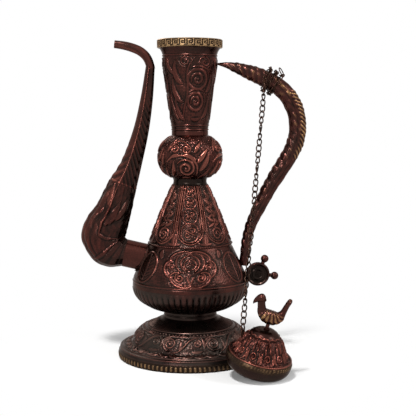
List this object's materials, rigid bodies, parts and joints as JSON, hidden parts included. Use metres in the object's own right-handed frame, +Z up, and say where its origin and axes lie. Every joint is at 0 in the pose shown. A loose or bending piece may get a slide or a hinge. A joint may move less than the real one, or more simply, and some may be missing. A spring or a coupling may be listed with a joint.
{
  "type": "ewer with chained lid",
  "caption": "Footed pouring ewer with a long spout, curved handle, ringed neck and a loose domed lid with a bird finial on a chain.",
  "frame": {"origin": "axis of the vessel at the surface it stands on", "axes": "+Z up, spout towards -X, handle towards +X, the lid lies to the front right at +X and -Y"},
  "size_m": [0.2354, 0.1975, 0.33],
  "materials": {
    "aged_brass": "dark copper-toned patina over chased relief",
    "bright_brass": "worn gilt brass on the patterned bands",
    "worn_brass": "handled, smoother patina",
    "chain_brass": "dull brass wire"
  },
  "bodies": {
    "ewer": {"foot_dome": "aged_brass", "foot_band": "bright_brass", "stem_tube": "aged_brass", "bowl": "aged_brass", "belly": "aged_brass", "belt_band": "aged_brass", "shoulder_cone": "aged_brass", "neck_collar": "aged_brass", "knop": "aged_brass", "neck": "aged_brass", "mouth_band": "bright_brass", "spout_collar": "aged_brass", "spout_stub": "worn_brass", "spout_boot": "aged_brass", "spout_tube": "aged_brass", "spout_nozzle": "aged_brass", "handle": "worn_brass", "scroll_end": "worn_brass", "scroll_knobs": "worn_brass", "chain_wrap": "chain_brass", "chain_hanger": "chain_brass"},
    "chain_top": {"chain_top_run": "chain_brass"},
    "chain_middle": {"chain_middle_run": "chain_brass"},
    "chain_low": {"chain_low_run": "chain_brass"},
    "lid": {"lid_seat": "aged_brass", "lid_band": "bright_brass", "lid_lip": "aged_brass", "lid_dome": "aged_brass", "lid_cap": "aged_brass", "finial_peg": "aged_brass", "peg_washer": "aged_brass", "bird_finial": "aged_brass", "lid_staple": "chain_brass"},
    "ring": {"chain_ring": "chain_brass"}
  },
  "joints": [
    {"name": "chain_swing", "type": "hinge", "parent": "ewer", "child": "chain_top", "pos_m": [0.07615, -0.01391, 0.2844], "axis": [-0.9457, 0.3252, 0], "range_deg": [0, 55]},
    {"name": "chain_upper_bend", "type": "hinge", "parent": "chain_top", "child": "chain_middle", "pos_m": [0.06751, -0.03905, 0.20499], "axis": [-0.9457, 0.3252, 0], "range_deg": [0, 20]},
    {"name": "chain_lower_bend", "type": "hinge", "parent": "chain_middle", "child": "chain_low", "pos_m": [0.05886, -0.0642, 0.12557], "axis": [-0.9457, 0.3252, 0], "range_deg": [0, 20]},
    {"name": "lid_swing", "type": "hinge", "parent": "chain_low", "child": "lid", "pos_m": [0.05022, -0.08934, 0.04616], "axis": [-0.9457, 0.3252, 0], "range_deg": [0, 25]},
    {"name": "ring_flip", "type": "hinge", "parent": "ewer", "child": "ring", "pos_m": [0.09577, -0.00062, 0.29462], "axis": [-0.8325, 0.3437, -0.4346], "range_deg": [-15, 15]}
  ]
}
